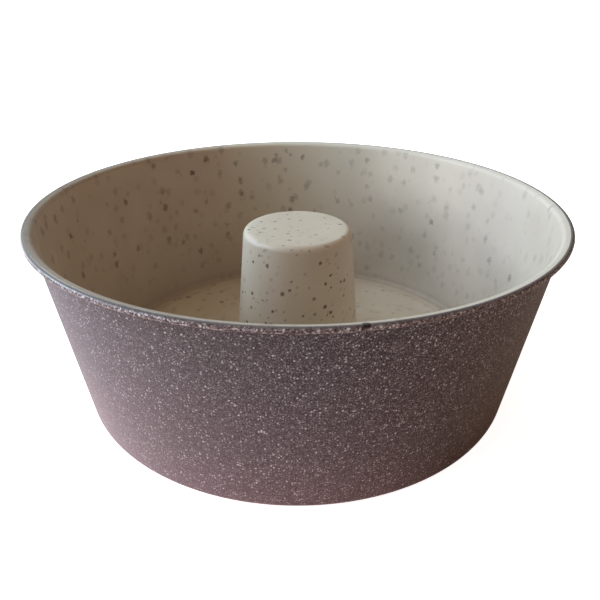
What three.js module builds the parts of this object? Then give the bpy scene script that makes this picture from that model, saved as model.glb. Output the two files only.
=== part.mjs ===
// Tube cake pan: a pressed aluminium bowl with a rolled lip, and a closed tube in the middle of its floor.
// The inside carries a cream non-stick film, and the outside a mauve one. The tube's foot goes through
// a hole in the floor, which is gripped between a bead above it and a flare below it.
// Millimetres, +Z up. The origin is on the standing plane, on the axis that every piece is turned about.
import * as THREE from "three";

// Bowl
const LIP_DIAMETER = 260; // over the rolled edge of the lip
const PAN_HEIGHT = 95; // from the standing plane to the top of the lip
const LIP_OVERHANG = 3.8; // rolled edge beyond the outside of the wall, carried up to the height of the lip
const BASE_DIAMETER = 228.5; // outside of the wall, carried down to the standing plane
const BODY_SHEET = 0.9; // thickness of the bowl's aluminium
const CORNER_BEND = 2.4; // inside radius where the floor turns up into the wall
const LIP_BEND = 1.4; // inside radius where the wall turns out into the lip
const LIP_RISE = 15; // degrees that the lip climbs towards its edge
const ROLL_SLIT = 0.4; // slit left inside the rolled edge
const ROLL_TUCK = 1.6; // length of sheet tucked back under the lip
const FOOT_WIDTH = 5; // flat of the ring that the pan stands on
const FOOT_SLOPE = 3; // width over which the floor climbs off that ring
const FLOOR_RISE = 0.8; // underside of the floor above the standing plane

// Raised middle of the floor
const BOSS_MARGIN = 6; // flat floor left outside the tube's bead
const BOSS_BEND = 1.2; // inside radius of the two bends of its shoulder
const BOSS_STEEPNESS = 50; // degrees of the shoulder from the level floor
const FLARE_CLEARANCE = 2.5; // between the flare and the standing plane

// Tube
const TUBE_TOP_DIAMETER = 56.6; // outside of the tube, carried up to its crown
const TUBE_FOOT_DIAMETER = 70; // outside of the tube, carried down to its seat on the floor
const TUBE_HEIGHT = 74.5; // from its seat on the floor to the top of the crown
const TUBE_SHEET = 0.9; // thickness of the tube's aluminium
const CROWN_BEND = 2.6; // inside radius round the crown
const FOOT_BEND = 0.6; // inside radius of the small bends at the bead and the flare
const BEAD_SLIT = 0.3; // slit left between the two layers that the bead is folded from
const BEAD_GRIP = 3; // bead beyond the edge of the floor's hole
const FLARE_GRIP = 3.5; // flare beyond the edge of the floor's hole

// Fits and films
const SEAT_GAP = 0.05; // between the floor and the bead above it, and the flare below it
const HOLE_CLEARANCE = 0.15; // between the floor's hole and the small bends of the tube's foot
const FILM = 0.1; // thickness of every film
const FILM_GAP = 0.02; // between a film and the sheet under it
const FILM_END_GAP = 0.15; // between the end of a film and the piece that it stops at
const LIP_COAT_REACH = 0.3; // of the mauve film over the top of the lip, inwards from the middle of the roll

// How finely round things are drawn
const SEGMENTS = 48; // round the axis
const BEND_TOLERANCE = 0.04; // most that the flats of a bend stand off its true curve
const SAME_POINT = 1e-6; // points of a line that are closer than this are one point

const radians = THREE.MathUtils.degToRad;

// The middle of a bent sheet, seen in section: level or sloping stretches joined by round bends.
// Each corner gives its distance from the axis, its height and the radius that the sheet's middle bends to.
// Every point returned has a normal, on the left of the way along the sheet: the side that the cake touches.
function sheetLine(corners) {
  const way = (from, to) => new THREE.Vector2(to.r - from.r, to.z - from.z).normalize();
  const line = [];
  const add = (r, z, angle) => {
    const last = line.at(-1);
    const repeated = last && Math.hypot(last.r - r, last.z - z) < SAME_POINT;
    if (!repeated) line.push({ r, z, normal: { r: -Math.sin(angle), z: Math.cos(angle) } });
  };
  add(corners[0].r, corners[0].z, way(corners[0], corners[1]).angle());
  for (let i = 1; i < corners.length - 1; i++) {
    const corner = corners[i];
    const into = way(corners[i - 1], corner);
    const out = way(corner, corners[i + 1]);
    const turn = Math.atan2(into.cross(out), into.dot(out));
    const reach = corner.bend * Math.tan(Math.abs(turn) / 2);
    const side = Math.sign(turn) * corner.bend;
    const centre = {
      r: corner.r - into.x * reach - into.y * side,
      z: corner.z - into.y * reach + into.x * side,
    };
    const widestStep = 2 * Math.acos(Math.max(1 - BEND_TOLERANCE / corner.bend, 0));
    const steps = Math.ceil(Math.abs(turn) / widestStep);
    for (let step = 0; step <= steps; step++) {
      const angle = into.angle() + (turn * step) / steps;
      add(centre.r + Math.sin(angle) * side, centre.z - Math.cos(angle) * side, angle);
    }
  }
  const end = corners.at(-1);
  add(end.r, end.z, way(corners.at(-2), end).angle());
  return line;
}

// One layer of a bent sheet: what lies between two distances from its middle, turned about the axis.
function turnedLayer(name, line, inner, outer, material) {
  const face = (distance) =>
    line.map((p) => new THREE.Vector2(p.r + p.normal.r * distance, p.z + p.normal.z * distance));
  const outline = [...face(outer), ...face(inner).reverse()];
  const startsOnAxis = line[0].r === 0;
  if (!startsOnAxis) outline.push(outline[0].clone());
  const geometry = new THREE.LatheGeometry(outline.reverse(), SEGMENTS).rotateX(Math.PI / 2);
  const mesh = new THREE.Mesh(geometry, material);
  mesh.name = name;
  return mesh;
}

// A film on a sheet, on the side that the sign gives.
function film(name, line, sheet, side, material) {
  const near = side * (sheet / 2 + FILM_GAP);
  const far = side * (sheet / 2 + FILM_GAP + FILM);
  return turnedLayer(name, line, Math.min(near, far), Math.max(near, far), material);
}

// Distances from the middle of each sheet to the outside of its film
const bodySkin = BODY_SHEET / 2 + FILM_GAP + FILM;
const tubeSkin = TUBE_SHEET / 2 + FILM_GAP + FILM;

// The tube's foot and the hole that it goes through. Heights are above the seat of the bead.
const tubeTaper = Math.atan2((TUBE_FOOT_DIAMETER - TUBE_TOP_DIAMETER) / 2, TUBE_HEIGHT);
const tubeMiddleRadius = (z) =>
  TUBE_FOOT_DIAMETER / 2 - z * Math.tan(tubeTaper) - tubeSkin / Math.cos(tubeTaper);
const footBend = FOOT_BEND + TUBE_SHEET / 2;
const beadBend = (TUBE_SHEET + BEAD_SLIT) / 2;
const beadLower = TUBE_SHEET / 2;
const beadUpper = beadLower + 2 * beadBend;
const skirtRadius = tubeMiddleRadius(beadUpper);
const holeRadius = skirtRadius + TUBE_SHEET / 2 + FOOT_BEND + HOLE_CLEARANCE;
const beadRadius = holeRadius + BEAD_GRIP;
const linedBeadRadius = beadRadius + FILM_GAP + FILM;
const flareRadius = holeRadius + FLARE_GRIP;
const flareHeight = -2 * SEAT_GAP - BODY_SHEET - TUBE_SHEET / 2;

// The tube, from the middle of its crown down to the edge of the flare
const crownHeight = TUBE_HEIGHT - tubeSkin;
const crownCentre = { r: 0, z: crownHeight };
const crownBend = CROWN_BEND + TUBE_SHEET / 2;
const crownCorner = { r: tubeMiddleRadius(crownHeight), z: crownHeight, bend: crownBend };
const beadRoot = { r: skirtRadius, z: beadUpper, bend: footBend };
const beadNoseUpper = { r: beadRadius - TUBE_SHEET / 2, z: beadUpper, bend: beadBend };
const beadNoseMiddle = { r: beadNoseUpper.r, z: beadUpper - beadBend };
const beadNoseLower = { r: beadNoseUpper.r, z: beadLower, bend: beadBend };
const skirtTop = { r: skirtRadius, z: beadLower, bend: footBend };
const skirtEnd = { r: skirtRadius, z: flareHeight, bend: footBend };
const flareEdge = { r: flareRadius, z: flareHeight };
const tubeOutside = [crownCentre, crownCorner, beadRoot, beadNoseUpper];
const tubeLine = sheetLine([...tubeOutside, beadNoseLower, skirtTop, skirtEnd, flareEdge]);
const tubeLiningLine = sheetLine([...tubeOutside, beadNoseMiddle]);

// The bowl, from a distance from the axis on its raised middle out to the lip
const bossHeight = FLARE_CLEARANCE + TUBE_SHEET + SEAT_GAP + BODY_SHEET / 2;
const floorHeight = FLOOR_RISE + BODY_SHEET / 2;
const footHeight = BODY_SHEET / 2;
const wallTopDiameter = LIP_DIAMETER - 2 * LIP_OVERHANG;
const wallTaper = Math.atan2((wallTopDiameter - BASE_DIAMETER) / 2, PAN_HEIGHT);
const wallMiddleRadius = (z) =>
  BASE_DIAMETER / 2 + z * Math.tan(wallTaper) - bodySkin / Math.cos(wallTaper);
const bossBend = BOSS_BEND + BODY_SHEET / 2;
const bossRadius = linedBeadRadius + BOSS_MARGIN;
const shoulderRun = (bossHeight - floorHeight) / Math.tan(radians(BOSS_STEEPNESS));
const cornerBend = CORNER_BEND + BODY_SHEET / 2;
const cornerRadius = wallMiddleRadius(footHeight);
const cornerReach = cornerBend * Math.tan((Math.PI / 2 - wallTaper) / 2);
const footInnerRadius = cornerRadius - cornerReach - FOOT_WIDTH;

// The lip and its rolled edge. Places are taken from the middle of the roll, along and across the lip.
const lipRise = radians(LIP_RISE);
const rollBend = (BODY_SHEET + ROLL_SLIT) / 2;
const rollRadius = rollBend + bodySkin;
const onLip = (along, across) => ({
  r: LIP_DIAMETER / 2 - rollRadius + along * Math.cos(lipRise) - across * Math.sin(lipRise),
  z: PAN_HEIGHT - rollRadius + along * Math.sin(lipRise) + across * Math.cos(lipRise),
});
const rollUpper = { ...onLip(rollBend, rollBend), bend: rollBend };
const rollLower = { ...onLip(rollBend, -rollBend), bend: rollBend };
const tuckEnd = onLip(-ROLL_TUCK, -rollBend);
const lipCoatStart = onLip(-LIP_COAT_REACH, rollBend);
const liningEnd = onLip(-LIP_COAT_REACH - FILM_END_GAP, rollBend);
const wallCoatEnd = onLip(-ROLL_TUCK - FILM_END_GAP, rollBend);
// Where the line of the lip, carried inwards, meets the line of the wall
const lipStartHeight =
  (rollUpper.z - Math.tan(lipRise) * (rollUpper.r - wallMiddleRadius(0))) /
  (1 - Math.tan(lipRise) * Math.tan(wallTaper));
const lipBend = LIP_BEND + BODY_SHEET / 2;
const bowlCorners = (innerRadius) => [
  { r: innerRadius, z: bossHeight },
  { r: bossRadius, z: bossHeight, bend: bossBend },
  { r: bossRadius + shoulderRun, z: floorHeight, bend: bossBend },
  { r: footInnerRadius - FOOT_SLOPE, z: floorHeight, bend: bossBend },
  { r: footInnerRadius, z: footHeight, bend: bossBend },
  { r: cornerRadius, z: footHeight, bend: cornerBend },
  { r: wallMiddleRadius(lipStartHeight), z: lipStartHeight, bend: lipBend },
];

// The outside films stop short of the standing plane, so the ring that the pan stands on is bare metal.
const clearOfTable = (p) => p.z - p.normal.z * bodySkin > 0;
const outsideLine = sheetLine([...bowlCorners(flareRadius + FILM_END_GAP), wallCoatEnd]);
const firstBare = outsideLine.findIndex((p) => !clearOfTable(p));
const lastBare = outsideLine.findLastIndex((p) => !clearOfTable(p));
const baseCoatLine = outsideLine.slice(0, firstBare);
const wallCoatLine = outsideLine.slice(lastBare + 1);

const aluminium = new THREE.MeshStandardMaterial({ color: 0xc4c2c0, roughness: 0.35, metalness: 1 });
const creamFilm = new THREE.MeshStandardMaterial({ color: 0xd6cfc2, roughness: 0.45, metalness: 0 });
const mauveFilm = new THREE.MeshStandardMaterial({ color: 0x7d6a6d, roughness: 0.5, metalness: 0 });

const bowlLine = sheetLine([...bowlCorners(holeRadius), rollUpper, rollLower, tuckEnd]);
const liningLine = sheetLine([...bowlCorners(linedBeadRadius + FILM_END_GAP), liningEnd]);
const lipCoatLine = sheetLine([lipCoatStart, rollUpper, rollLower, tuckEnd]);

const bowl = new THREE.Group();
bowl.add(
  turnedLayer("body_shell", bowlLine, -BODY_SHEET / 2, BODY_SHEET / 2, aluminium),
  film("body_lining", liningLine, BODY_SHEET, 1, creamFilm),
  film("wall_coat", wallCoatLine, BODY_SHEET, -1, mauveFilm),
  film("lip_coat", lipCoatLine, BODY_SHEET, 1, mauveFilm),
  film("base_coat", baseCoatLine, BODY_SHEET, -1, mauveFilm),
);

const tube = new THREE.Group();
tube.position.z = bossHeight + BODY_SHEET / 2 + SEAT_GAP;
tube.add(
  turnedLayer("centre_tube", tubeLine, -TUBE_SHEET / 2, TUBE_SHEET / 2, aluminium),
  film("tube_lining", tubeLiningLine, TUBE_SHEET, 1, creamFilm),
);

const pan = new THREE.Group();
pan.add(bowl, tube);

export default pan;
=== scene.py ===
import math

import bmesh
import bpy
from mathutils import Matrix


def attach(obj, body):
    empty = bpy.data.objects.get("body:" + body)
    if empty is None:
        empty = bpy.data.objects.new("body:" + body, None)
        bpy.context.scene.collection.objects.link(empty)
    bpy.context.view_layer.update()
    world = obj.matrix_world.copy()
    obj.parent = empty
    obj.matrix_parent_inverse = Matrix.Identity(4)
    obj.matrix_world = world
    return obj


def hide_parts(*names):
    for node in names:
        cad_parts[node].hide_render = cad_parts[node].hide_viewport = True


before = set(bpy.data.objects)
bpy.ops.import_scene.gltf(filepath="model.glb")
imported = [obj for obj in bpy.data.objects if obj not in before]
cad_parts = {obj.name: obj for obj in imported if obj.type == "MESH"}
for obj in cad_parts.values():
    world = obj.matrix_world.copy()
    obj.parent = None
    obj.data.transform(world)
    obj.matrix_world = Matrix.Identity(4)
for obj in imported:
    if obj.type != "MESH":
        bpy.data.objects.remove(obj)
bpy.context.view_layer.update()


# The bowl is one pressing of aluminium sheet: a raised middle with a hole for the tube, a flat floor, a
# low ring to stand on, a tapered wall and a lip that turns out and is rolled under, which stiffens the rim.
# Its sizes, like all of the pan's, are in millimetres.
MM = 0.001
BOWL_SHEET = 0.9
FILM = 0.1
FILM_GAP = 0.02
BOWL_SKIN = BOWL_SHEET / 2 + FILM_GAP + FILM
PAN_HEIGHT = 95.0
WALL_TOP_RADIUS = 126.2
BASE_RADIUS = 114.25
WALL_TAPER = math.atan2(WALL_TOP_RADIUS - BASE_RADIUS, PAN_HEIGHT)
HOLE_RADIUS = 35.48
BOSS_RADIUS = 44.6
BOSS_HEIGHT = 3.9
SHOULDER_RUN = 2.22
FLOOR_HEIGHT = 1.25
FOOT_HEIGHT = 0.45
FOOT_INNER_RADIUS = 106.22
FOOT_SLOPE = 3.0
BOSS_BEND = 1.65
CORNER_BEND = 2.85
LIP_BEND = 1.85
LIP_CLIMB = math.radians(15)
ROLL_BEND = 0.65
ROLL_RADIUS = ROLL_BEND + BOWL_SKIN
LIP_EDGE_RADIUS = 129.95
LIP_TOP = 94.95
ROLL_MIDDLE = (LIP_EDGE_RADIUS - ROLL_RADIUS, LIP_TOP - ROLL_RADIUS)
ROLL_TUCK = 1.6
EDGE_ROUND = 0.2
EDGE_STEPS = 4
ROUND_STEPS = 192
BEND_STEP = math.radians(6)
RUN_STEP = 6.0
SHARP_EDGE = math.radians(40)
TOUCHING = 1e-6


def bent_sheet(corners):
    """Middle of a bent sheet in section, as (radius, height, way it runs).
    A corner is (radius, height, bend)."""
    line = []
    for index, (radius, height, bend) in enumerate(corners):
        before = corners[max(index - 1, 0)]
        after = corners[min(index + 1, len(corners) - 1)]
        way_out = math.atan2(after[1] - height, after[0] - radius)
        way_in = math.atan2(height - before[1], radius - before[0])
        if index == 0:
            way_in = way_out
        if index == len(corners) - 1:
            way_out = way_in
        turn = math.remainder(way_out - way_in, 2 * math.pi)
        reach = bend * math.tan(abs(turn) / 2)
        side = math.copysign(bend, turn)
        centre_radius = radius - math.cos(way_in) * reach - math.sin(way_in) * side
        centre_height = height - math.sin(way_in) * reach + math.cos(way_in) * side
        steps = max(math.ceil(abs(turn) / BEND_STEP), 1)
        for step in range(steps + 1):
            way = way_in + turn * step / steps
            point = (centre_radius + math.sin(way) * side, centre_height - math.cos(way) * side, way)
            if line:
                start = line[-1]
                run = math.dist(start[:2], point[:2])
                if run < TOUCHING:
                    continue
                pieces = math.ceil(run / RUN_STEP)
                for piece in range(1, pieces):
                    share = piece / pieces
                    line.append(tuple(a + (b - a) * share for a, b in zip(start, point)))
            line.append(point)
    return line


def offset(point, distance, along=0.0):
    """A point of a sheet's section moved to the left of the way it runs, and along that way."""
    radius, height, way = point
    return (
        radius - math.sin(way) * distance + math.cos(way) * along,
        height + math.cos(way) * distance + math.sin(way) * along,
    )


def layer_outline(line, inner, outer, rounding):
    """Closed section of one layer of a sheet, with the corners of its cut edges rounded."""
    outline = [offset(point, outer) for point in line[1:-1]]
    quarter_turn = [math.pi / 2 * step / EDGE_STEPS for step in range(EDGE_STEPS + 1)]
    for point, ahead in ((line[-1], 1), (line[0], -1)):
        if point[0] < TOUCHING:
            outline += [offset(point, inner), offset(point, outer)]
            continue
        first, second = (outer, inner) if ahead > 0 else (inner, outer)
        sense = math.copysign(1, second - first)
        for angle in quarter_turn:
            across = first + sense * rounding * (1 - math.cos(angle))
            outline.append(offset(point, across, ahead * rounding * (math.sin(angle) - 1)))
        for angle in quarter_turn:
            across = second - sense * rounding * (1 - math.sin(angle))
            outline.append(offset(point, across, ahead * rounding * (math.cos(angle) - 1)))
        if ahead > 0:
            outline += [offset(other, inner) for other in reversed(line[1:-1])]
    return outline


def turned_piece(name, outline, finish, lift=0.0):
    """A closed section in millimetres, turned about the pan's axis."""
    mesh = bpy.data.meshes.new(name)
    work = bmesh.new()
    turns = [2 * math.pi * step / ROUND_STEPS for step in range(ROUND_STEPS)]
    rings = []
    for radius, height in outline:
        level = (height + lift) * MM
        if radius < TOUCHING:
            rings.append([work.verts.new((0, 0, level))] * ROUND_STEPS)
            continue
        reach = radius * MM
        points = [(reach * math.cos(turn), reach * math.sin(turn), level) for turn in turns]
        rings.append([work.verts.new(point) for point in points])
    for ring, following in zip(rings, rings[1:] + rings[:1]):
        for step in range(ROUND_STEPS):
            after = (step + 1) % ROUND_STEPS
            corners = [ring[step], ring[after], following[after], following[step]]
            corners = list(dict.fromkeys(corners))
            if len(corners) > 2:
                work.faces.new(corners)
    bmesh.ops.recalc_face_normals(work, faces=work.faces)
    work.to_mesh(mesh)
    work.free()
    mesh.polygons.foreach_set("use_smooth", [True] * len(mesh.polygons))
    mesh.set_sharp_from_angle(angle=SHARP_EDGE)
    piece = bpy.data.objects.new(name, mesh)
    bpy.context.scene.collection.objects.link(piece)
    mesh.materials.append(finish)
    return piece


def new_finish(name):
    """An empty material, for the nodes of one finish."""
    finish = bpy.data.materials.new(name)
    finish.use_nodes = True
    finish.node_tree.nodes.clear()
    return finish


def add_node(finish, kind, sockets, **settings):
    """One shader node; a socket is given a number, a vector, a colour or another node's output."""
    node = finish.node_tree.nodes.new("ShaderNode" + kind)
    for name, value in settings.items():
        setattr(node, name, value)
    for name, value in sockets.items():
        if isinstance(value, bpy.types.NodeSocket):
            finish.node_tree.links.new(value, node.inputs[name])
        elif node.inputs[name].type == "RGBA":
            node.inputs[name].default_value = (*value, 1)
        else:
            node.inputs[name].default_value = value
    return node


def own_place(finish):
    """Place of a point of the piece, in the pan's own frame."""
    return add_node(finish, "TexCoord", {}).outputs["Object"]


def along_axes(finish, place):
    """Parts X, Y and Z of a place: to the right, to the back and up."""
    return add_node(finish, "SeparateXYZ", {0: place}).outputs


def on_vectors(finish, operation, *vectors):
    """Result of one operation on vectors: a vector, or a number where the operation gives one."""
    node = add_node(finish, "VectorMath", dict(enumerate(vectors)), operation=operation)
    gives_number = operation in ("LENGTH", "DISTANCE", "DOT_PRODUCT")
    return node.outputs["Value" if gives_number else "Vector"]


def from_axis(finish, place):
    """Distance of a place from the pan's axis."""
    return on_vectors(finish, "LENGTH", on_vectors(finish, "MULTIPLY", place, (1, 1, 0)))


def noise(finish, place, scale, detail):
    """Soft clouds between 0 and 1, with the scale in clouds to the metre."""
    return add_node(finish, "TexNoise", {"Vector": place, "Scale": scale, "Detail": detail}).outputs[0]


def spread(finish, value, low, high, to_low, to_high):
    """A value between low and high, stretched over another range and held inside it."""
    sockets = {"Value": value, 1: low, 2: high, 3: to_low, 4: to_high}
    return add_node(finish, "MapRange", sockets).outputs[0]


def blend_colours(finish, share, first, second, way="MIX"):
    """First colour where the share is 0; where it is 1, the second, or both together in another way."""
    sockets = {0: share, 6: first, 7: second}
    return add_node(finish, "Mix", sockets, data_type="RGBA", blend_type=way).outputs[2]


def relief(finish, height, depth, strength):
    """Fine relief of a surface, with its depth in millimetres."""
    sockets = {"Height": height, "Distance": depth * MM, "Strength": strength}
    return add_node(finish, "Bump", sockets).outputs[0]


def finish_surface(finish, sockets):
    """Closes a finish with the shader and the output."""
    shader = add_node(finish, "BsdfPrincipled", sockets)
    add_node(finish, "OutputMaterial", {"Surface": shader.outputs[0]})


def bare_aluminium():
    """Pressed aluminium, satin, with faint rings from the trimming tool and the press."""
    finish = new_finish("bare_aluminium")
    place = own_place(finish)
    height = along_axes(finish, place)["Z"]
    section = add_node(finish, "CombineXYZ", {"X": from_axis(finish, place), "Y": height}).outputs[0]
    rings = noise(finish, section, 5000, 2)
    stains = noise(finish, place, 70, 5)
    dull = (0.50, 0.49, 0.47)
    bright = (0.66, 0.65, 0.64)
    finish_surface(finish, {
        "Base Color": blend_colours(finish, spread(finish, stains, 0.35, 0.65, 0, 1), dull, bright),
        "Metallic": 1.0,
        "Roughness": spread(finish, rings, 0.3, 0.7, 0.28, 0.44),
        "Normal": relief(finish, rings, 0.01, 0.5),
    })
    return finish


def wall_radius(height):
    """Distance of the middle of the wall's sheet from the axis."""
    return BASE_RADIUS + height * math.tan(WALL_TAPER) - BOWL_SKIN / math.cos(WALL_TAPER)


def on_lip(along, across, bend=0.0):
    """A corner of the lip's sheet, measured along and across the lip from the middle of its roll."""
    return (
        ROLL_MIDDLE[0] + along * math.cos(LIP_CLIMB) - across * math.sin(LIP_CLIMB),
        ROLL_MIDDLE[1] + along * math.sin(LIP_CLIMB) + across * math.cos(LIP_CLIMB),
        bend,
    )


def bowl_corners(inner_radius):
    """Corners of the bowl's sheet, from an inner radius to the bend where the wall turns into the lip."""
    climb = math.tan(LIP_CLIMB)
    lip = on_lip(0, ROLL_BEND)
    lip_start = (lip[1] - climb * (lip[0] - wall_radius(0))) / (1 - climb * math.tan(WALL_TAPER))
    return [
        (inner_radius, BOSS_HEIGHT, 0),
        (BOSS_RADIUS, BOSS_HEIGHT, BOSS_BEND),
        (BOSS_RADIUS + SHOULDER_RUN, FLOOR_HEIGHT, BOSS_BEND),
        (FOOT_INNER_RADIUS - FOOT_SLOPE, FLOOR_HEIGHT, BOSS_BEND),
        (FOOT_INNER_RADIUS, FOOT_HEIGHT, BOSS_BEND),
        (wall_radius(FOOT_HEIGHT), FOOT_HEIGHT, CORNER_BEND),
        (wall_radius(lip_start), lip_start, LIP_BEND),
    ]


aluminium = bare_aluminium()
roll_corners = [
    on_lip(ROLL_BEND, ROLL_BEND, ROLL_BEND),
    on_lip(ROLL_BEND, -ROLL_BEND, ROLL_BEND),
    on_lip(-ROLL_TUCK, -ROLL_BEND),
]
bowl_line = bent_sheet(bowl_corners(HOLE_RADIUS) + roll_corners)
bowl_section = layer_outline(bowl_line, -BOWL_SHEET / 2, BOWL_SHEET / 2, EDGE_ROUND)
pressed_bowl = turned_piece("pressed_bowl", bowl_section, aluminium)
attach(pressed_bowl, "root")
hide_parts("body_shell")


# The outside of the wall is sprayed with a dusky mauve non-stick coat, which looks and feels like fine
# sand: grains from nearly black to pale pink, cream flecks, and small pits between them.
FILM_ROUND = 0.03
FILM_END_GAP = 0.15
COAT_START = 39.13
BARE_RING_HEIGHT = 0.25
COARSE_GRAIN = 0.40
FINE_GRAIN = 0.27
MIDDLE_GRAIN = 0.58
GRAIN_SHADES = (
    (0.10, (0.024, 0.015, 0.015)),
    (0.34, (0.071, 0.050, 0.049)),
    (0.60, (0.134, 0.099, 0.097)),
    (0.80, (0.242, 0.190, 0.183)),
    (0.95, (0.530, 0.470, 0.440)),
)
# Painted light and shade: less red on the upper front, warmer shade to the right, sheen at the far right.
MAUVE_LIGHT_TINTS = (
    ((0.92, 0.97, 1.00), ("X", -60, -20), ("X", 60, 20), ("Z", 20, 45)),
    ((1.00, 0.95, 0.84), ("X", 54, 68)),
    ((1.12, 1.32, 1.30), ("X", 79, 92)),
)
FLECK_CREAM = (0.800, 0.815, 0.790)


def reckon(finish, operation, first, second):
    """Result of one sum on two numbers."""
    return add_node(finish, "Math", {0: first, 1: second}, operation=operation).outputs[0]


def times(finish, first, second):
    """Product of two numbers."""
    return reckon(finish, "MULTIPLY", first, second)


def plus(finish, first, second):
    """Sum of two numbers."""
    return reckon(finish, "ADD", first, second)


def rise(finish, length, none_at, full_at, most=1.0):
    """From 0 to the most, as a length goes between two sizes in millimetres, either way."""
    return spread(finish, length, none_at * MM, full_at * MM, 0, most)


def warped(finish, place, size, amount):
    """Place shifted by a soft noise, so that round specks come out ragged. Lengths are in millimetres."""
    clouds = add_node(finish, "TexNoise", {"Vector": place, "Scale": 1 / (size * MM), "Detail": 1})
    centred = on_vectors(finish, "SUBTRACT", clouds.outputs["Color"], (0.5, 0.5, 0.5))
    shift = on_vectors(finish, "MULTIPLY", centred, (2 * amount * MM,) * 3)
    return on_vectors(finish, "ADD", place, shift)


def grains(finish, place, size):
    """A lot between 0 and 1 for each grain of a packed sand. The size is in millimetres."""
    cells = add_node(finish, "TexVoronoi", {"Vector": place, "Scale": 1 / (size * MM)})
    return add_node(finish, "SeparateColor", {0: cells.outputs["Color"]}).outputs[0]


def shades(finish, value, stops):
    """Colours laid along a value from 0 to 1."""
    node = add_node(finish, "ValToRGB", {"Fac": value})
    ramp = node.color_ramp
    while len(ramp.elements) < len(stops):
        ramp.elements.new(1)
    for element, (position, colour) in zip(ramp.elements, stops):
        element.position = position
        element.color = (*colour, 1)
    return node.outputs[0]


def toned(finish, along, colour, tones):
    """The colour tinted for shade and coloured light on the pan, where the soft lights are too even. A tone
    is a tint and its ramps; a ramp is an axis, where the tint starts and where it is full."""
    for tint, *ramps in tones:
        share = 1.0
        for axis, none_at, full_at in ramps:
            share = times(finish, share, rise(finish, along[axis], none_at, full_at))
        colour = blend_colours(finish, share, colour, tint, "MULTIPLY")
    return colour


def specks(finish, place, spacing, share, smallest, largest, softness, dimensions="3D"):
    """Mask of scattered round specks, and a lot for the strength of each. Lengths are in millimetres; the
    share is of the cells, a spacing apart, that hold a speck."""
    cells = add_node(finish, "TexVoronoi", {"Vector": place, "Scale": 1 / (spacing * MM)},
                     voronoi_dimensions=dimensions)
    lots = add_node(finish, "SeparateColor", {0: cells.outputs["Color"]}).outputs
    size = spread(finish, lots[0], 1 - share, 1, smallest / spacing, largest / spacing)
    rim = plus(finish, size, softness / spacing)
    spot = add_node(finish, "MapRange", {"Value": cells.outputs["Distance"], 1: rim, 2: size, 3: 0, 4: 1},
                    interpolation_type="SMOOTHSTEP").outputs[0]
    drawn = reckon(finish, "GREATER_THAN", lots[0], 1 - share)
    return times(finish, spot, drawn), lots[1]


def flecked(finish, place, colour, cover, faintest, strongest, tint, **sizes):
    """The colour with one kind of specks, which cover it from faintly to strongly, and their mask."""
    spot, lot = specks(finish, place, **sizes)
    share = times(finish, times(finish, spot, cover), spread(finish, lot, 0, 1, faintest, strongest))
    return blend_colours(finish, share, colour, tint), spot


def mauve_sand():
    """Mauve coat of grains, flecks and pits, with painted light; fainter at the left, the foot and far
    right.
    """
    finish = new_finish("mauve_sand_coat")
    place = own_place(finish)
    along = along_axes(finish, place)
    ragged = warped(finish, place, 0.3, 0.06)
    coarse = grains(finish, ragged, COARSE_GRAIN)
    fine = grains(finish, ragged, FINE_GRAIN)
    lot = plus(finish, times(finish, coarse, 0.5), times(finish, fine, 0.5))
    clouds = noise(finish, place, 220, 3)
    lot = plus(finish, lot, spread(finish, clouds, 0.3, 0.7, -0.03, 0.03))
    # The grains and flecks are painted fainter at the left, as sheen; they are also fainter at the foot and
    # far right.
    crispness = spread(finish, along["X"], -80 * MM, 50 * MM, 0.82, 1.36)
    crispness = times(finish, crispness, spread(finish, along["Z"], 20 * MM, 60 * MM, 0.86, 1))
    crispness = times(finish, crispness, spread(finish, along["X"], 80 * MM, 112 * MM, 1, 0.68))
    lot = plus(finish, times(finish, plus(finish, lot, -MIDDLE_GRAIN), crispness), MIDDLE_GRAIN)
    colour = toned(finish, along, shades(finish, lot, GRAIN_SHADES), MAUVE_LIGHT_TINTS)
    colour, flecks = flecked(finish, ragged, colour, crispness, 0.18, 0.90, FLECK_CREAM,
                             spacing=1.00, share=0.42, smallest=0.12, largest=0.40, softness=0.06)
    bumps = plus(finish, lot, times(finish, flecks, 0.5))
    finish_surface(finish, {
        "Base Color": colour,
        "Roughness": 0.48,
        "Normal": relief(finish, bumps, 0.10, 0.6),
        "Sheen Weight": 0.25,
        "Sheen Roughness": 0.4,
        "Sheen Tint": (1.0, 0.94, 0.95),
    })
    return finish


def film_section(line, sheet, side):
    """Section of the film on one side of a sheet."""
    near = side * (sheet / 2 + FILM_GAP)
    far = side * (sheet / 2 + FILM_GAP + FILM)
    return layer_outline(line, min(near, far), max(near, far), FILM_ROUND)


mauve = mauve_sand()
outside_line = bent_sheet(bowl_corners(COAT_START) + [on_lip(-ROLL_TUCK - FILM_END_GAP, ROLL_BEND)])
levels = [offset(point, -BOWL_SKIN)[1] for point in outside_line]
bare_ring = [index for index, level in enumerate(levels) if level <= BARE_RING_HEIGHT]
wall_section = film_section(outside_line[bare_ring[-1] + 1:], BOWL_SHEET, -1)
outside_coat = turned_piece("outside_coat", wall_section, mauve)
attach(outside_coat, "root")
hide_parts("wall_coat")


# The same coat covers the underside of the floor, inside the ring that the pan stands on. The ring is
# left bare, because it would rub any film off.
underside_section = film_section(outside_line[:bare_ring[0]], BOWL_SHEET, -1)
underside_coat = turned_piece("underside_coat", underside_section, mauve)
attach(underside_coat, "root")
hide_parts("base_coat")


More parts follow.
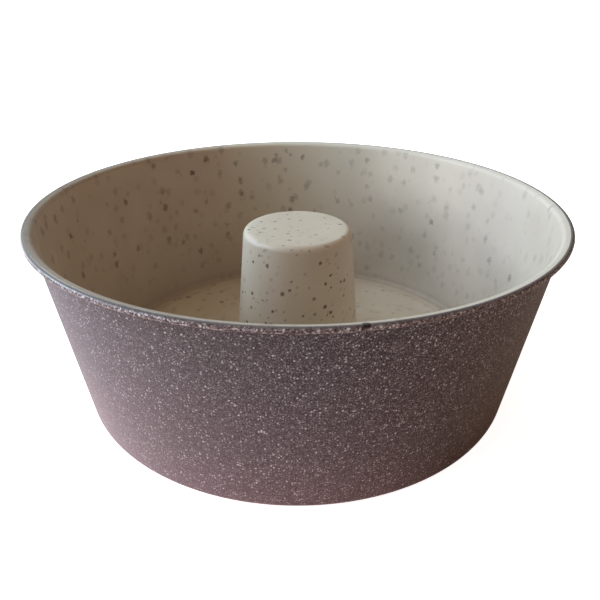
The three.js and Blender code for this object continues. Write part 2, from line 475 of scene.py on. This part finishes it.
# The mauve coat also goes round the rolled edge of the lip and in over its top. There it is smooth and
# darker, because the roll was turned after spraying, and only the face below the turn keeps its flecks.
# A small dark drip sits on the front.
LIP_COAT_REACH = 0.3
LIP_FACE_HEIGHTS = (94.8, 94.3)
LIP_GRAIN = 0.6
LIP_SHADES = (
    (0.05, (0.040, 0.027, 0.027)),
    (0.45, (0.165, 0.118, 0.114)),
    (0.80, (0.340, 0.265, 0.250)),
    (1.00, (0.720, 0.660, 0.620)),
)
# Painted shade: the right end of the rim is darker and greyer.
LIP_SHADE_TINTS = (((0.62, 0.92, 0.86), ("X", 95, 115)),)
LIP_FLECK_CREAM = (0.770, 0.730, 0.660)
DRIP_PLACE = (21.3 * MM, -126.8 * MM, 94.5 * MM)
DRIP_RADII = (1.6, 1.3)


def with_drip(finish, place, colour):
    """The colour with a small drip of nearly black coat on the front of the lip."""
    away = on_vectors(finish, "DISTANCE", place, DRIP_PLACE)
    return blend_colours(finish, rise(finish, away, *DRIP_RADII, 0.95), colour, (0.010, 0.008, 0.007))


def mauve_lip():
    """The same coat drawn smooth over the top of the roll, with flecks left on its outer face."""
    finish = new_finish("mauve_lip_coat")
    place = own_place(finish)
    along = along_axes(finish, place)
    face = rise(finish, along["Z"], *LIP_FACE_HEIGHTS)
    ragged = warped(finish, place, 0.4, 0.16)
    lot = grains(finish, ragged, LIP_GRAIN)
    smooth = blend_colours(finish, lot, (0.085, 0.066, 0.064), (0.135, 0.108, 0.106))
    colour = blend_colours(finish, face, smooth, shades(finish, lot, LIP_SHADES))
    colour, flecks = flecked(finish, ragged, colour, face, 0.35, 1.0, LIP_FLECK_CREAM,
                             spacing=1.3, share=0.55, smallest=0.20, largest=0.50, softness=0.12)
    # Painted shade darkens the right end of the rim.
    colour = toned(finish, along, with_drip(finish, ragged, colour), LIP_SHADE_TINTS)
    bumps = times(finish, plus(finish, lot, flecks), face)
    finish_surface(finish, {
        "Base Color": colour,
        "Roughness": spread(finish, face, 0, 1, 0.18, 0.30),
        "Normal": relief(finish, bumps, 0.06, 0.5),
        "Specular Tint": (1.0, 0.84, 0.74),
    })
    return finish


lip_line = bent_sheet([on_lip(-LIP_COAT_REACH, ROLL_BEND)] + roll_corners)
rolled_edge_coat = turned_piece("rolled_edge_coat", film_section(lip_line, BOWL_SHEET, 1), mauve_lip())
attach(rolled_edge_coat, "root")
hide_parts("lip_coat")


# The inside of the bowl is sprayed with a cream stone-look non-stick lining, which ends on top of the
# lip: smooth and satin, with many soft, faint brown specks and a few dark ones under a clear skin. In the
# corner of floor and wall it is painted a little browner, as shade.
LINING_START = 38.75
LINING_END_GAP = 0.03
BOWL_CREAM = (0.581, 0.508, 0.404)
BOWL_OAT = (0.541, 0.467, 0.365)
LIT_BACK_CREAM = (0.640, 0.600, 0.466)
# Painted shade and light: tube and rim shadows low on the right, light high on the back right, less green.
CREAM_LIGHT_AND_SHADE_TINTS = (
    ((0.79, 0.795, 0.78), ("Y", 20, 50), ("X", 40, 62), ("X", 102, 85), ("Z", 3, 14), ("Z", 66, 36)),
    ((1.15, 1.15, 1.11), ("Y", 20, 50), ("X", 40, 62), ("X", 122, 100), ("Z", 52, 78)),
    ((0.87, 0.87, 0.87), ("X", 108, 115), ("Z", 60, 46)),
    ((1.00, 0.975, 1.00), ("X", 80, 105)),
)
SPECK_SHIFT = (1.73, 2.91, 0.87)
# A kind of speck has its faintest and its strongest cover, its colour and its sizes.
BOWL_SPECKS = (
    (0.10, 0.40, (0.15, 0.105, 0.068),
     dict(spacing=8.5, share=0.36, smallest=0.30, largest=0.75, softness=0.90)),
    (0.13, 0.36, (0.15, 0.105, 0.068),
     dict(spacing=10.0, share=0.48, smallest=0.70, largest=1.40, softness=1.70)),
    (0.28, 0.60, (0.105, 0.072, 0.046),
     dict(spacing=11.5, share=0.46, smallest=0.60, largest=1.25, softness=1.50)),
    (0.52, 0.82, (0.060, 0.042, 0.028),
     dict(spacing=25.0, share=0.42, smallest=0.75, largest=1.20, softness=1.25)),
)
WALL_FOOT_RADII = (107, 111)
SPECK_WALL_START = 108.5
SPECK_WALL_RADIUS = 118
LIP_SHOULDER_HEIGHTS = (92.2, 93.6)
LIP_FLAT_HEIGHTS = (93.4, 94.2)
NEAR_LEFT = (-0.85, -0.5, 0)


def mottled(finish, clouds, first, second):
    """Two close colours in soft clouds."""
    return blend_colours(finish, spread(finish, clouds, 0.35, 0.65, 0, 1), first, second)


def drifting(finish, place):
    """How strong specks are, as they drift into loose crowds."""
    return spread(finish, noise(finish, place, 55, 2), 0.42, 0.56, 0.65, 1)


def speckled(finish, place, colour, strength, kinds, dimensions):
    """The colour with several kinds of specks, each shifted so as not to repeat another's pattern."""
    for faintest, strongest, tint, sizes in kinds:
        place = on_vectors(finish, "ADD", place, SPECK_SHIFT)
        colour, _ = flecked(finish, place, colour, strength, faintest, strongest, tint,
                            dimensions=dimensions, **sizes)
    return colour


def rolled_out(finish, place):
    """Place on the lining as if the wall were cut at the front and laid flat beside the floor."""
    ragged = warped(finish, place, 1.5, 1.7)
    along = along_axes(finish, ragged)
    radius = from_axis(finish, ragged)
    round_wall = times(finish, reckon(finish, "ARCTAN2", along["X"], along["Y"]), SPECK_WALL_RADIUS * MM)
    up_wall = plus(finish, along["Z"], times(finish, radius, -1))
    wall_place = add_node(finish, "CombineXYZ", {"X": round_wall, "Y": up_wall}).outputs[0]
    on_wall = reckon(finish, "GREATER_THAN", radius, SPECK_WALL_START * MM)
    return add_node(finish, "Mix", {0: on_wall, 4: ragged, 5: wall_place}, data_type="VECTOR").outputs[1]


def satin_skin(finish, place, colour, roughness, gloss):
    """Closes a lining with its smooth clear skin."""
    finish_surface(finish, {
        "Base Color": colour,
        "Roughness": roughness,
        "Specular IOR Level": gloss,
        "Normal": relief(finish, noise(finish, place, 700, 2), 0.03, 0.35),
    })


def cream_stone_of_bowl():
    """Cream lining of the bowl, with painted light and shade on the back, the lower wall, its corner and
    the lip.
    """
    finish = new_finish("cream_stone_of_bowl")
    place = own_place(finish)
    along = along_axes(finish, place)
    height = along["Z"]
    clouds = noise(finish, place, 45, 4)
    colour = mottled(finish, clouds, BOWL_CREAM, BOWL_OAT)
    # Painted light: the lining is paler on the back wall, less so towards the right.
    lit_at_back = rise(finish, along["Y"], 103, 121)
    lit_at_back = times(finish, lit_at_back, spread(finish, along["X"], 20 * MM, 60 * MM, 1, 0.3))
    colour = blend_colours(finish, lit_at_back, colour, LIT_BACK_CREAM)
    colour = toned(finish, along, colour, CREAM_LIGHT_AND_SHADE_TINTS)
    # The specks are painted fainter to the right, where glare washes them out.
    fainter_on_right = spread(finish, along["X"], 0, 60 * MM, 1, 0.66)
    strength = times(finish, drifting(finish, place), fainter_on_right)
    colour = speckled(finish, rolled_out(finish, place), colour, strength, BOWL_SPECKS, "2D")
    on_wall = rise(finish, from_axis(finish, place), *WALL_FOOT_RADII)
    shaded = times(finish, on_wall, rise(finish, height, 45, 3, 0.40))
    colour = blend_colours(finish, shaded, colour, (0.36, 0.30, 0.23))
    # Painted shade: browner in the corner of floor and wall.
    shaded_corner = times(finish, on_wall, rise(finish, height, 7.0, 2.5))
    colour = blend_colours(finish, times(finish, shaded_corner, 0.35), colour, (0.32, 0.265, 0.20))
    on_shoulder = rise(finish, height, *LIP_SHOULDER_HEIGHTS)
    near_left = on_vectors(finish, "DOT_PRODUCT", place, NEAR_LEFT)
    # Painted shade on the lip's inner bend, strongest on the left.
    shaded_shoulder = times(finish, on_shoulder, rise(finish, near_left, -20, 120, 0.55))
    colour = blend_colours(finish, shaded_shoulder, colour, (0.160, 0.115, 0.085))
    # Painted light on the flat top of the lip, away from the left and weaker at the far right.
    lit_lip_top = times(finish, rise(finish, height, *LIP_FLAT_HEIGHTS), rise(finish, near_left, 0, -120))
    lit_lip_top = times(finish, lit_lip_top, spread(finish, along["X"], 95 * MM, 122 * MM, 1, 0.55))
    colour = blend_colours(finish, lit_lip_top, colour, (0.650, 0.590, 0.500))
    colour = with_drip(finish, place, colour)
    roughness = spread(finish, clouds, 0.3, 0.7, 0.36, 0.46)
    roughness = spread(finish, plus(finish, on_shoulder, shaded_corner), 0, 1, roughness, 0.70)
    satin_skin(finish, place, colour, roughness, 0.5)
    return finish


lining_end = on_lip(-LIP_COAT_REACH - LINING_END_GAP, ROLL_BEND)
lining_line = bent_sheet(bowl_corners(LINING_START) + [lining_end])
bowl_lining = turned_piece("bowl_lining", film_section(lining_line, BOWL_SHEET, 1), cream_stone_of_bowl())
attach(bowl_lining, "root")
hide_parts("body_lining")


# The tube is a second pressing, a closed tapered cup of aluminium. Its foot drops through the hole in the
# floor. A bead folded in it rests on the floor, and its end is flared underneath, so that the floor is
# held.
TUBE_SHEET = 0.9
TUBE_SEAT = 4.4
TUBE_HEIGHT = 74.5
TUBE_FOOT_RADIUS = 35.0
TUBE_TOP_RADIUS = 28.3
TUBE_SKIN = TUBE_SHEET / 2 + FILM_GAP + FILM
CROWN_BEND = 3.05
FOOT_BEND = 1.05
BEAD_BEND = 0.6
BEAD_LOW = 0.45
BEAD_HIGH = 1.65
BEAD_NOSE = 38.03
FLARE_RADIUS = 38.98
FLARE_LEVEL = -1.45


def tube_radius(height):
    """Distance of the middle of the tube's sheet from the axis."""
    taper = math.atan2(TUBE_FOOT_RADIUS - TUBE_TOP_RADIUS, TUBE_HEIGHT)
    return TUBE_FOOT_RADIUS - height * math.tan(taper) - TUBE_SKIN / math.cos(taper)


CROWN_LEVEL = TUBE_HEIGHT - TUBE_SKIN
SKIRT_RADIUS = tube_radius(BEAD_HIGH)
tube_outside = [
    (0, CROWN_LEVEL, 0),
    (tube_radius(CROWN_LEVEL), CROWN_LEVEL, CROWN_BEND),
    (SKIRT_RADIUS, BEAD_HIGH, FOOT_BEND),
    (BEAD_NOSE, BEAD_HIGH, BEAD_BEND),
]
tube_foot = [
    (BEAD_NOSE, BEAD_LOW, BEAD_BEND),
    (SKIRT_RADIUS, BEAD_LOW, FOOT_BEND),
    (SKIRT_RADIUS, FLARE_LEVEL, FOOT_BEND),
    (FLARE_RADIUS, FLARE_LEVEL, 0),
]
tube_line = bent_sheet(tube_outside + tube_foot)
tube_section = layer_outline(tube_line, -TUBE_SHEET / 2, TUBE_SHEET / 2, EDGE_ROUND)
drawn_tube = turned_piece("drawn_tube", tube_section, aluminium, TUBE_SEAT)
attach(drawn_tube, "root")
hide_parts("centre_tube")


# The cake side of the tube carries the same cream lining, from the crown down over the nose of the bead.
# The sheet stretched upwards and round as it was drawn, so its specks are sharper, darker and slanting,
# and on the crown they are fainter.
# The bowl's cream and oat, painted deeper on the tube as shade.
SHADED_TUBE_CREAM = (0.5636, 0.4724, 0.3555)
SHADED_TUBE_OAT = (0.5248, 0.4343, 0.3212)
LIT_TUBE_CREAM = (0.598, 0.520, 0.402)
CROWN_TOP = TUBE_SEAT + TUBE_HEIGHT
CROWN_TURN_HEIGHTS = (CROWN_TOP - 1.5, CROWN_TOP - 0.3)
SPECK_SLANT = math.radians(45)
SPECK_STRETCH = (0.74, 1, 1)
TUBE_SPECKS = (
    (0.15, 0.50, (0.12, 0.082, 0.052),
     dict(spacing=2.8, share=0.34, smallest=0.36, largest=0.80, softness=0.45)),
    (0.85, 1.10, (0.036, 0.016, 0.005),
     dict(spacing=3.6, share=0.46, smallest=0.36, largest=0.84, softness=0.32)),
    (0.45, 0.95, (0.050, 0.026, 0.012),
     dict(spacing=2.4, share=0.10, smallest=0.25, largest=0.50, softness=0.22)),
)


def slanted(finish, place):
    """Place for specks that are drawn out along a slant."""
    turned = add_node(finish, "VectorRotate", {"Vector": place, "Angle": SPECK_SLANT},
                      rotation_type="Y_AXIS").outputs[0]
    return warped(finish, on_vectors(finish, "MULTIPLY", turned, SPECK_STRETCH), 0.9, 0.35)


def cream_stone_of_tube():
    """Cream lining of the tube, duller than the bowl's, painted deeper as shade, and paler left and on the
    crown as light.
    """
    finish = new_finish("cream_stone_of_tube")
    place = own_place(finish)
    along = along_axes(finish, place)
    clouds = noise(finish, place, 45, 4)
    colour = mottled(finish, clouds, SHADED_TUBE_CREAM, SHADED_TUBE_OAT)
    on_crown = rise(finish, along["Z"], *CROWN_TURN_HEIGHTS)
    # Painted light: the cream is paler on the left side and a little on the crown.
    on_left = rise(finish, along["X"], -18, -26)
    lit_share = plus(finish, on_left, times(finish, on_crown, 0.3))
    colour = blend_colours(finish, lit_share, colour, LIT_TUBE_CREAM)
    fainter_on_crown = spread(finish, on_crown, 0, 1, 1, 0.65)
    strength = times(finish, drifting(finish, place), fainter_on_crown)
    colour = speckled(finish, slanted(finish, place), colour, strength, TUBE_SPECKS, "3D")
    satin_skin(finish, place, colour, spread(finish, clouds, 0.3, 0.7, 0.46, 0.56), 0.65)
    return finish


tube_film_line = bent_sheet(tube_outside + [(BEAD_NOSE, BEAD_HIGH - BEAD_BEND, 0)])
tube_film_section = film_section(tube_film_line, TUBE_SHEET, 1)
lining_on_tube = turned_piece("lining_on_tube", tube_film_section, cream_stone_of_tube(), TUBE_SEAT)
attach(lining_on_tube, "root")
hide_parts("tube_lining")


# A plain white table top runs on far behind the pan to a white backdrop. Both are for the eye only: the
# light that a table throws up at the pan comes from a second, unseen sheet just below. A bright card,
# behind on the left, shows only in the gloss. Sizes of the set are in metres.
FLOOR_REACH = 12.0
BACKDROP_HEIGHT = 8.0
BACKDROP_SIDES = 48
TABLE_LIGHT_LEVEL = -0.0005
CARD_HEIGHT = 0.32
CARD_LEFT_END = (-1.3, 0.5)
CARD_RIGHT_END = (-0.5, 1.3)
RAYS = ("camera", "diffuse", "glossy", "transmission", "shadow")
FOR_THE_EYE = ("camera",)
FOR_ITS_LIGHT = ("diffuse", "glossy", "transmission", "shadow")
FOR_THE_GLOSS = ("glossy", "transmission")


def white_paint(name, glow):
    """Matt white paint with the slightest cloudiness, lit from within so that it stays white."""
    finish = new_finish(name)
    clouds = noise(finish, own_place(finish), 3, 3)
    finish_surface(finish, {
        "Base Color": blend_colours(finish, clouds, (0.80, 0.79, 0.78), (0.82, 0.81, 0.80)),
        "Roughness": 0.7,
        "Specular IOR Level": 0.2,
        "Emission Color": (1, 1, 1),
        "Emission Strength": glow,
    })
    return finish


def warm_table():
    """A pale table that the window lights: brightest on the left, and pinkish close to the pan."""
    finish = new_finish("warm_table")
    place = own_place(finish)
    way = on_vectors(finish, "NORMALIZE", on_vectors(finish, "MULTIPLY", place, (1, 1, 0)))
    left = on_vectors(finish, "DOT_PRODUCT", way, (-1, 0, 0))
    front = on_vectors(finish, "DOT_PRODUCT", way, (-0.55, -0.835, 0))
    near = rise(finish, from_axis(finish, place), 230, 115)
    near = times(finish, near, spread(finish, front, 0.35, 0.95, 0, 1))
    pink = blend_colours(finish, near, (0, 0, 0), (0.810, 0.460, 0.465))
    lit = spread(finish, left, 0.2, 1.0, 0, 1)
    shaded = spread(finish, left, -0.6, 0.4, 0, 1)
    finish_surface(finish, {
        "Base Color": blend_colours(finish, shaded, (0.46, 0.375, 0.33), (0.60, 0.50, 0.475)),
        "Roughness": 0.8,
        "Specular IOR Level": 0.0,
        "Emission Color": blend_colours(finish, lit, pink, (0.470, 0.425, 0.440), "ADD"),
        "Emission Strength": 1.0,
    })
    return finish


def staged_sheet(name, corners, finish, rays):
    """A flat sheet of the set, which only the rays named can meet."""
    mesh = bpy.data.meshes.new(name)
    mesh.from_pydata(corners, [], [tuple(range(len(corners)))])
    mesh.materials.append(finish)
    sheet = bpy.data.objects.new(name, mesh)
    for ray in RAYS:
        setattr(sheet, "visible_" + ray, ray in rays)
    bpy.context.scene.collection.objects.link(sheet)


def ring_of_points(radius, height):
    """Corners of the set round the pan's axis."""
    angles = [2 * math.pi * step / BACKDROP_SIDES for step in range(BACKDROP_SIDES)]
    return [(radius * math.cos(angle), radius * math.sin(angle), height) for angle in angles]


card_corners = [
    (*CARD_LEFT_END, 0),
    (*CARD_RIGHT_END, 0),
    (*CARD_RIGHT_END, CARD_HEIGHT),
    (*CARD_LEFT_END, CARD_HEIGHT),
]
staged_sheet("white_card", card_corners, white_paint("white_card", 5.0), FOR_THE_GLOSS)
low_ring = ring_of_points(FLOOR_REACH, 0)
high_ring = ring_of_points(FLOOR_REACH, BACKDROP_HEIGHT)
staged_sheet("table_top", low_ring, white_paint("white_table", 0.90), FOR_THE_EYE)
staged_sheet("table_light", ring_of_points(FLOOR_REACH, TABLE_LIGHT_LEVEL), warm_table(), FOR_ITS_LIGHT)
backdrop_finish = white_paint("white_backdrop", 1.0)
for step in range(BACKDROP_SIDES):
    after = (step + 1) % BACKDROP_SIDES
    corners = [low_ring[step], low_ring[after], high_ring[after], high_ring[step]]
    staged_sheet(f"backdrop_{step:02d}", corners, backdrop_finish, FOR_THE_EYE)


# A wide soft window on the left is the main light: six soft suns stand for its parts, and a faint one for
# the ceiling. A pale wall behind on the left throws a broad light over the crown and the rim, and a dim
# warm room does the rest.
SUN_WIDTH = math.radians(30)
SKY_COLOUR = (0.75, 1.0, 1.3)
LOW_SKY_COLOUR = (0.85, 1.0, 1.2)
CEILING_COLOUR = (0.90, 1.0, 0.74)
ROOM_COLOUR = (0.275, 0.164, 0.116)
PALE_WALL_COLOUR = (1.17, 1.42, 1.49)
PALE_WALL_WAY = (-0.46, 0.84, 0.28)


def soft_sun(name, colour, strength, elevation, turn):
    """A soft sun from the left, raised and turned towards the front by angles in degrees."""
    light = bpy.data.lights.new(name, "SUN")
    light.energy = strength
    light.angle = SUN_WIDTH
    light.color = colour
    stand = bpy.data.objects.new(name, light)
    stand.rotation_euler = (0, -math.radians(90 - elevation), math.radians(turn))
    bpy.context.scene.collection.objects.link(stand)


soft_sun("low_window", LOW_SKY_COLOUR, strength=0.81, elevation=3, turn=20)
soft_sun("front_window", SKY_COLOUR, strength=0.30, elevation=10, turn=40)
soft_sun("middle_window", SKY_COLOUR, strength=0.28, elevation=25, turn=20)
soft_sun("back_window", SKY_COLOUR, strength=1.02, elevation=22, turn=-15)
soft_sun("high_window", SKY_COLOUR, strength=0.64, elevation=32, turn=-10)
soft_sun("top_window", SKY_COLOUR, strength=0.69, elevation=38, turn=15)
soft_sun("ceiling", CEILING_COLOUR, strength=0.28, elevation=80, turn=0)

room = bpy.data.worlds.new("room")
room.use_nodes = True
way_out = add_node(room, "TexCoord", {}).outputs["Generated"]
facing = on_vectors(room, "DOT_PRODUCT", way_out, PALE_WALL_WAY)
on_pale_wall = add_node(room, "MapRange", {"Value": facing, 1: 0.5, 2: 1, 3: 0, 4: 1},
                        interpolation_type="SMOOTHSTEP").outputs[0]
room_light = blend_colours(room, on_pale_wall, ROOM_COLOUR, PALE_WALL_COLOUR)
room.node_tree.links.new(room_light, room.node_tree.nodes["Background"].inputs["Color"])
bpy.context.scene.world = room
bpy.context.scene.view_settings.view_transform = "Standard"


# The camera stands close in front of the pan, a little above its lip, and looks down into it, so the rim
# spreads wide and the wall narrows quickly towards the base.
camera_data = bpy.data.cameras.new("camera")
camera_data.lens = 33.42
camera_data.clip_start = 0.01
camera = bpy.data.objects.new("camera", camera_data)
camera.location = (0, -0.2751, 0.18226)
camera.rotation_euler = (math.radians(61.953), math.radians(-0.174), math.radians(-0.180))
bpy.context.scene.collection.objects.link(camera)
bpy.context.scene.camera = camera
